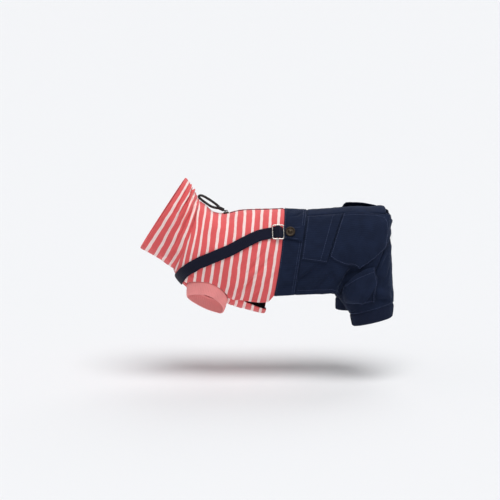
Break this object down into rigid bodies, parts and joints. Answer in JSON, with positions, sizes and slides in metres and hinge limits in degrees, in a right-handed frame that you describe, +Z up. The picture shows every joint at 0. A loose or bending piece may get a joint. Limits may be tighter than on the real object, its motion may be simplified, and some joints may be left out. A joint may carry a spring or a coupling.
{
  "type": "dog jumpsuit",
  "caption": "Small dog's jumpsuit as worn: striped jersey turtleneck top with coral sleeve cuffs, navy trousers with patch pockets and rib cuffs, and buttoned shoulder straps.",
  "frame": {"origin": "The outer face of the cloth on the middle of the back, where the body carries the garment.", "axes": "-X points to the head and +X to the tail, -Y to the wearer's left, +Z up. The garment is longest along X."},
  "size_m": [0.3824, 0.1424, 0.2201],
  "materials": {
    "striped_jersey": "cotton jersey knit, coral red with narrow white stripes",
    "coral_rib": "coral rib knit",
    "navy_twill": "navy cotton twill, topstitched",
    "navy_rib": "navy rib knit",
    "navy_webbing": "navy woven webbing and tape",
    "silver_wire": "polished nickel-plated wire",
    "bronze": "dark antique bronze",
    "black_plastic": "moulded black rubber and cord"
  },
  "bodies": {
    "garment": {"collar": "striped_jersey", "top_back_left": "striped_jersey", "top_back_right": "striped_jersey", "chest_panel": "striped_jersey", "belly_hem_band": "navy_webbing", "sleeve_cuff_left": "coral_rib", "sleeve_cuff_right": "coral_rib", "zip_tape": "navy_webbing", "zip_coil": "navy_webbing", "zip_slider": "bronze", "waistband": "navy_twill", "back_yoke": "navy_twill", "trouser_left": "navy_twill", "trouser_right": "navy_twill", "leg_cuff_left": "navy_rib", "leg_cuff_right": "navy_rib", "front_pocket_left": "navy_twill", "front_pocket_right": "navy_twill", "back_pocket_left": "navy_twill", "back_pocket_right": "navy_twill", "thigh_pocket_left": "navy_twill", "thigh_pocket_right": "navy_twill", "strap_left": "navy_webbing", "strap_right": "navy_webbing", "slider_left": "silver_wire", "slider_right": "silver_wire", "tab_left": "navy_twill", "tab_right": "navy_twill", "button_left": "bronze", "button_right": "bronze"},
    "zip_pull": {"zip_pull": "black_plastic"}
  },
  "joints": [
    {"name": "zip_pull_swing", "type": "hinge", "parent": "garment", "child": "zip_pull", "pos_m": [-0.05725, 0, -0.00156], "axis": [0, 1, 0], "range_deg": [0, 125]}
  ]
}
